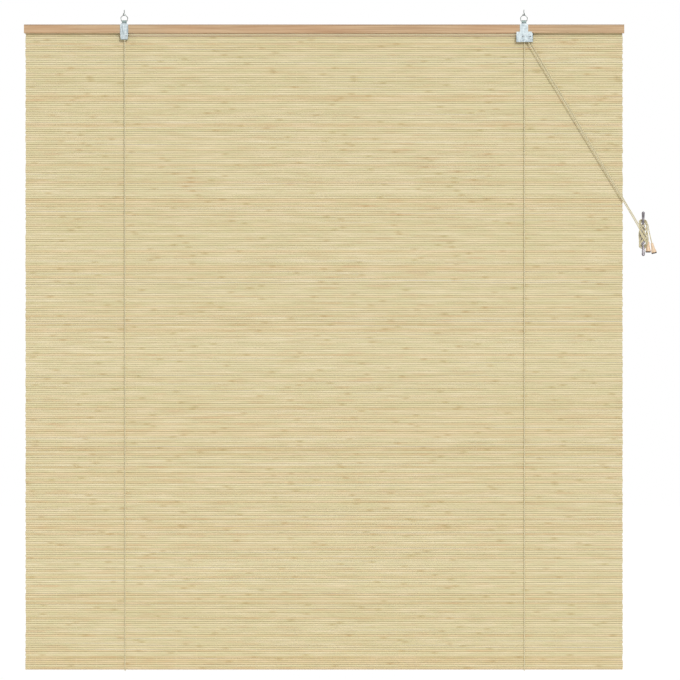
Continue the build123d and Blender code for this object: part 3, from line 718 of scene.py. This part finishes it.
def buildHooks():
    cores = bmesh.new()
    for name, side in (("left", -1), ("right", 1)):
        x, turn = side * hook["station"] * mm, math.radians(hook["turn"])
        across = Vector((-side * math.sin(turn), math.cos(turn), 0)) * mm
        points = [Vector((x, 0, z * mm)) + across * reach for reach, z in hook["route"]]
        bent = rounded(points, [radius * mm for radius in hook["bends"]])
        piece = curvePiece(name + "ScrewHook", bent, wire["diameter"], drawnWire, "blind")
        if name == "left":
            # one CAD node holds both hooks
            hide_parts("screw_hooks")
        curvePiece(name + "HookThread", threadLine(x), hook["threadWire"] * mm, drawnWire, "blind",
                   roundness=1)
        buildThread(cores, x)
    bmesh.ops.remove_doubles(cores, verts=cores.verts, dist=1e-7)
    finishPiece(cores, "hookShanks", drawnWire, smooth=50)


buildHooks()


# Cords: one spline each, whose control points are the route of the CAD cord

cord = {
    "diameter": 2.5 * mm,
    # the loop round the mat: y at the knot, behind the foot and in front of it
    "atKnot": 12.62 * mm, "behind": 17.3 * mm, "inFront": 4.5 * mm,
    "footLevel": -1645.3 * mm, "knotLevel": -56.5 * mm, "footArc": 4 * mm,
    # the left cord runs along the rail from its roller to the lock's pulley
    "leftX": -498 * mm, "leftY": -3.3 * mm, "leftLevel": -55.65 * mm, "pulleyX": 499.64 * mm,
    "leftBends": [3.45 * mm, 4.6 * mm],
    # the right cord turns over the guide pin
    "rightX": 501 * mm, "rightY": 0.7 * mm, "rightLevel": -48.27 * mm, "rightBends": [2.25 * mm],
    "leftExit": Vector((512.26, -3.3, -77.25)) * mm,
    "rightExit": Vector((517.94, 0.7, -77.25)) * mm,
    "cleat": Vector((797.5, 0, -553.5)) * mm,
}


def liftCord(node, x, route, radii, exit):
    points = [(x, cord["atKnot"], cord["knotLevel"]), (x, cord["behind"], cord["footLevel"]),
              (x, cord["inFront"], cord["footLevel"])] + route + [exit]
    line = rounded(points, [cord["footArc"]] * 2 + radii)
    piece = curvePiece(pieceName(node), line, cord["diameter"], braidedCotton, "blind", nurbs=True)
    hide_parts(node)


liftCord("left_lift_cord", cord["leftX"],
         [(cord["leftX"], cord["leftY"], cord["leftLevel"]),
          (cord["pulleyX"], cord["leftY"], cord["leftLevel"])], cord["leftBends"], cord["leftExit"])
liftCord("right_lift_cord", cord["rightX"], [(cord["rightX"], cord["rightY"], cord["rightLevel"])],
         cord["rightBends"], cord["rightExit"])

# mm from the cleat's middle
winding = {
    "halfWidth": 11.5, "halfHeight": 32.5,
    "drift": 5.0,  # the turns climb from this far below the middle to this far above
    "tighter": 0.17,  # how much narrower the middle turns are than the first and last
    "steps": 18,  # to a turn
    "begin": 0.35,  # the cord joins the first turn this much, in radians, before its side
    "loop": 5.0, "loopSteps": 6,  # the last bend, over the turns and down to the tassel
    # how high or low each pass crosses the cleat, as an angle; where the last one ends; and the y of
    # the passes that rise and fall in front and of the bends behind the horns
    "left": ([0.05, -0.42, -0.2, -0.4, 0.22, -0.05, 0.45], 0.35, -4.4, -8.3, 4.4),
    "right": ([0.32, -0.32, -0.35, 0.0, 0.2, 0.5], 0.61, -5.8, -9.7, 6.9),
    # where each cord arrives from the lock, and its tail down to the tassel
    "leftArrive": (-13.8, -2, 22), "rightArrive": (-11.2, -0.5, 23.4),
    "leftTail": [(12.3, -5, -11), (12.5, -1, -16.5), (12.5, 0, -19.5), (12.5, 0, -41.5)],
    "rightTail": [(13.0, -6, 12), (21.3, -6, -23), (26.39, -6, -44.4)],
    "rightHang": (8.8, -6, -37),  # the right tail's direction, at y = -6
}


def turns(passes, last, frontUp, frontDown, behind):
    # figure-of-eight turns: across the front, behind one horn, back across, behind the other
    points = []
    first = math.pi - winding["begin"]
    last += math.pi * len(passes)
    count = round((last - first) / (2 * math.pi) * winding["steps"])
    for k in range(count + 1):
        t = first + (last - first) * k / count
        lean = passes[min(max(round(t / math.pi) - 1, 0), len(passes) - 1)]
        fold = math.asin(math.sin(t))
        warped = fold - lean * (math.cos(fold) / math.cos(lean)) ** 2
        rising = math.cos(t) > 0
        x = winding["halfWidth"] * math.sin(2 * warped) * (1 if rising else -1)
        x *= 1 - winding["tighter"] * math.sin(math.pi * k / count)
        share = math.cos(t) ** 2
        y = behind * (1 - share) + (frontUp if rising else frontDown) * share
        z = winding["drift"] * (2 * k / count - 1) + winding["halfHeight"] * math.sin(t)
        points.append(Vector((x, y, z)))
    return points


def lastLoop(points, towards):
    # a round bend to the right, from the last point's direction to another
    ahead = (points[-1] - points[-2]).normalized()
    start = math.atan2(ahead.x, -ahead.z)
    centre = points[-1] + winding["loop"] * Vector((ahead.z, 0, -ahead.x))
    end = math.atan2(towards[0], -towards[2])
    steps = winding["loopSteps"]
    bend = []
    for k in range(1, steps + 1):
        turn = start + (end - start) * k / steps
        place = centre + winding["loop"] * Vector((math.cos(turn), 0, math.sin(turn)))
        place.y = points[-1].y + (towards[1] - points[-1].y) * k / steps
        bend.append(place)
    return bend


def pullCord(exit, arrive, wound, tail, nodesUsed):
    line = [exit] + [cord["cleat"] + Vector(p) * mm for p in [arrive] + wound + tail]
    line.insert(1, line[0].lerp(line[1], 0.5))
    piece = curvePiece(pieceName(nodesUsed[0]), line, cord["diameter"], braidedCotton, "blind",
                       nurbs=True)
    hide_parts(*nodesUsed)
    return piece, line, exit


leftWound, rightWound = turns(*winding["left"]), turns(*winding["right"])
rightWound += lastLoop(rightWound, winding["rightHang"])
declared = [
    pullCord(cord["leftExit"], winding["leftArrive"], leftWound, winding["leftTail"],
             ["left_pull_cord", "cord_winding", "left_tassel_cord"]),
    pullCord(cord["rightExit"], winding["rightArrive"], rightWound, winding["rightTail"],
             ["right_pull_cord", "right_tassel_cord"]),
]


# Stopper knots: a cord wrapped over itself, so slanting ridges round a barrel

knot = {"radius": 2.8 * mm, "length": 5 * mm, "tasselLength": 4 * mm, "ridges": 3, "depth": 0.2,
        "fit": 0.96, "fullest": 1.25}


def buildKnot(name, top, axis, length):
    # top is where the knot bears; the knot lies beyond it, along the axis
    bm = bmesh.new()
    bmesh.ops.create_uvsphere(bm, u_segments=28, v_segments=18, radius=1)
    for vert in bm.verts:
        x, y, z = vert.co
        turn = math.atan2(y, x)
        wrap = abs(math.sin(math.pi * knot["ridges"] * z / 2 + turn))
        # fuller than a ball, like a barrel
        full = (1 - z ** 6) ** 0.5 / max((1 - z * z) ** 0.5, 0.2) if abs(z) < 0.999 else 1
        girth = min(full, knot["fullest"]) * (1 - knot["depth"] * (1 - wrap) ** 2)
        vert.co = Vector((x * girth * knot["radius"] * knot["fit"],
                          y * girth * knot["radius"] * knot["fit"], z * length / 2))
    place = Vector(top) + Vector(axis).normalized() * length / 2
    turned = Vector(axis).to_track_quat("Z", "Y").to_matrix().to_4x4()
    bmesh.ops.transform(bm, matrix=Matrix.Translation(place) @ turned, verts=bm.verts)
    for vert in bm.verts:
        # none of it stands out of the knot's radius
        reach = vert.co - place
        flat = reach - reach.project(Vector(axis))
        if flat.length > knot["radius"]:
            vert.co -= flat * (1 - knot["radius"] / flat.length)
    return finishPiece(bm, name, braidedCotton, smooth=80)


leftKnot, _ = (buildKnot(side + "Knot", (cord[side + "X"], cord["atKnot"], cord["knotLevel"]),
                         (0, 0, 1), knot["length"]) for side in ("left", "right"))
# one CAD node holds both knots
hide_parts("lift_cord_knots")


# Tassels: turned bells, with a fine bead at the neck and a cup for the knot

# mm
tassel = {
    "length": 27.0, "neck": 3.4, "radius": 6.8, "hole": 1.45, "cup": 4.4, "cupDepth": 8.0,
    # the bead at the top and the groove under it: radius from the neck's, and drop from the top
    "bead": ((-0.8, 0), (-0.1, 0.5), (0, 1.4), (-0.35, 1.9), (-0.35, 2.3), (0, 2.8)),
    "flareFrom": 0.1, "flareTo": 0.85, "flareSteps": 12,  # shares of the length
    "darkFrom": 0.92,
    "sides": 40,
    # where each hangs, from the cleat's middle, and its direction
    "left": ((12.5, 0, -19.5), (0, 0, -1)), "right": ((21.3, -6, -23), (8.8, 0, -37)),
}


def bellProfile():
    # radius and distance from the top in mm, from the bore round the outside into the cup
    neck, wide, foot, cup = tassel["neck"], tassel["radius"], tassel["length"], tassel["cup"]
    first, last, steps = tassel["flareFrom"], tassel["flareTo"], tassel["flareSteps"]
    roof = foot - tassel["cupDepth"]
    points = [(tassel["hole"], 0.5), (tassel["hole"] + 0.5, 0)]
    points += [(neck + change, drop) for change, drop in tassel["bead"]]
    for step in range(1, steps + 1):
        share = first + (last - first) * step / steps
        points.append((neck + (wide - neck) * (share / last) ** 2, share * foot))
    points += [(wide, 0.93 * foot), (wide - 0.3, 0.98 * foot), (wide - 0.9, foot),
               (cup + 0.4, foot), (cup, foot - 0.6), (cup, roof + 0.6), (cup - 0.6, roof),
               (tassel["hole"], roof), (tassel["hole"], 0.5)]
    return points


def buildTassel(node, top, down):
    bm = bmesh.new()
    darkening = bm.verts.layers.float.new("paintedDark")
    ring = [bm.verts.new((r * mm, 0, -drop * mm)) for r, drop in bellProfile()]
    for vert, (r, drop) in zip(ring, bellProfile()):
        # painted near black: the foot of the bell, and painted shade on the cup's inner wall
        vert[darkening] = 1.0 if drop > tassel["darkFrom"] * tassel["length"] or r == tassel["cup"] else 0.0
    edges = [bm.edges.new(pair) for pair in zip(ring, ring[1:])]
    bmesh.ops.spin(bm, geom=ring + edges, cent=(0, 0, 0), axis=(0, 0, 1), angle=2 * math.pi,
                   steps=tassel["sides"], use_merge=True)
    bmesh.ops.remove_doubles(bm, verts=bm.verts, dist=1e-6)
    top, down = cord["cleat"] + Vector(top) * mm, Vector(down).normalized()
    turned = (-down).to_track_quat("Z", "Y").to_matrix().to_4x4()
    bmesh.ops.transform(bm, matrix=Matrix.Translation(top) @ turned, verts=bm.verts)
    bell = finishPiece(bm, pieceName(node), turnedBeech, smooth=45)
    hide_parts(node)
    bearing = top + down * (tassel["length"] - tassel["cupDepth"]) * mm
    end = buildKnot(node.split("_")[0] + "TasselKnot", bearing, down, knot["tasselLength"])
    return bell, end


bells = [buildTassel(side + "_tassel", *tassel[side]) for side in ("left", "right")]
print("cords run")


# Wood screws that hold the cleat, their heads sunk in its foot

screwHead = {
    "radius": 3.7 * mm, "bore": 2.0 * mm, "depth": 1.7 * mm, "sides": 32,
    "spacing": 36 * mm, "faceY": 31 * mm, "sunk": 0.25 * mm,
    "slot": (3.6 * mm, 0.06 * mm, 0.9 * mm), "slotSunk": 0.24 * mm,
}


def buildWoodScrews():
    heads, slots = bmesh.new(), bmesh.new()
    for side in (-1, 1):
        x, z = cord["cleat"].x, cord["cleat"].z + side * screwHead["spacing"] / 2
        place = Matrix.Translation((x, screwHead["faceY"] + screwHead["sunk"] + screwHead["depth"] / 2, z))
        bmesh.ops.create_cone(heads, cap_ends=True, segments=screwHead["sides"],
                              radius1=screwHead["radius"], radius2=screwHead["bore"],
                              depth=screwHead["depth"],
                              matrix=place @ Matrix.Rotation(-math.pi / 2, 4, "X"))
        # two crossed slots, thin and dark, that look pressed into the head
        place = Matrix.Translation((x, screwHead["faceY"] + screwHead["slotSunk"], z))
        for turn in (math.pi / 4, -math.pi / 4):
            turned = Matrix.Rotation(turn, 4, "Y")
            size = Matrix.Diagonal((*screwHead["slot"], 1))
            bmesh.ops.create_cube(slots, size=1, matrix=place @ turned @ size)
    finishPiece(heads, "woodScrews", brightSteel)
    finishPiece(slots, "crossSlots", darkRecess)


buildWoodScrews()


# Studio

studio = {
    "photoPixels": 680, "pixel": 2.5 * mm,
    "centre": (39.75 * mm, -818.75 * mm),
    "lens": 200.0, "sensor": 36.0,
    "floorBelow": 120 * mm, "floorHalf": 12,
    "card": "#f4f4f4", "cardRoughness": 0.9,
    "glow": 1.095, "glowShare": 0.8,  # what the camera sees of the floor is as white as the background
    "fill": 0.6,  # the white room lights the blind this much, and shows full white itself
    # towards each sun, its strength and its spread in degrees
    "key": ((0.32, -1.0, 0.45), 1.37, 10),
    "backFill": ((-0.5, 1.0, 0.4), 0.7, 30),
}


def buildStudio():
    white, tree, shader = newMaterial("matt white card")
    shader.inputs["Base Color"].default_value = linear(studio["card"])
    shader.inputs["Roughness"].default_value = studio["cardRoughness"]
    path = addNode(tree, "ShaderNodeLightPath")
    seen = addNode(tree, "ShaderNodeMath", {"operation": "MULTIPLY", 1: studio["glowShare"]},
                   {0: path.outputs["Is Camera Ray"]})
    glow = addNode(tree, "ShaderNodeEmission", {"Color": (1, 1, 1, 1), "Strength": studio["glow"]})
    out = next(n for n in tree.nodes if n.type == "OUTPUT_MATERIAL")
    mix = addNode(tree, "ShaderNodeMixShader", links={0: seen.outputs[0], 1: shader.outputs[0],
                                                      2: glow.outputs[0]})
    tree.links.new(mix.outputs[0], out.inputs["Surface"])
    bm = bmesh.new()
    level = cadBox[0][2] - studio["floorBelow"]
    bmesh.ops.create_grid(bm, x_segments=1, y_segments=1, size=studio["floorHalf"],
                          matrix=Matrix.Translation((0, 0, level)))
    floor = newObject("floor", meshOf(bm, "floor"))
    floor.data.materials.append(white)

    world = bpy.data.worlds.new("studio")
    bpy.context.scene.world = world
    world.use_nodes = True
    tree = world.node_tree
    path = addNode(tree, "ShaderNodeLightPath")
    shown = addNode(tree, "ShaderNodeMath", {"operation": "MAXIMUM"},
                    {0: path.outputs["Is Camera Ray"], 1: path.outputs["Is Glossy Ray"]})
    shown = addNode(tree, "ShaderNodeMath", {"operation": "MAXIMUM"},
                    {0: shown.outputs[0], 1: path.outputs["Is Transmission Ray"]})
    strength = addNode(tree, "ShaderNodeMapRange", {"To Min": studio["fill"], "To Max": 1.0},
                       {0: shown.outputs[0]})
    back = next(n for n in tree.nodes if n.type == "BACKGROUND")
    back.inputs["Color"].default_value = (1, 1, 1, 1)
    tree.links.new(strength.outputs[0], back.inputs["Strength"])


def sunLight(name):
    # a large far lamp: the same light all over a wide flat piece
    towards, strength, spread = studio[name]
    data = bpy.data.lights.new(name, "SUN")
    data.energy = strength
    data.angle = math.radians(spread)
    lamp = newObject(name, data)
    lamp.location = towards
    lamp.rotation_euler = Vector(towards).to_track_quat("Z", "Y").to_euler()


def buildCamera():
    data = bpy.data.cameras.new("camera")
    data.lens = studio["lens"]
    data.sensor_width = studio["sensor"]
    camera = newObject("camera", data)
    width = studio["photoPixels"] * studio["pixel"]
    away = width * studio["lens"] / studio["sensor"]
    x, z = studio["centre"]
    camera.location = (x, -away, z)
    camera.rotation_euler = (math.radians(90), 0, 0)
    bpy.context.scene.camera = camera


buildStudio()
sunLight("key")
sunLight("backFill")
buildCamera()
bpy.context.scene.view_settings.view_transform = "Standard"
print("studio lit")
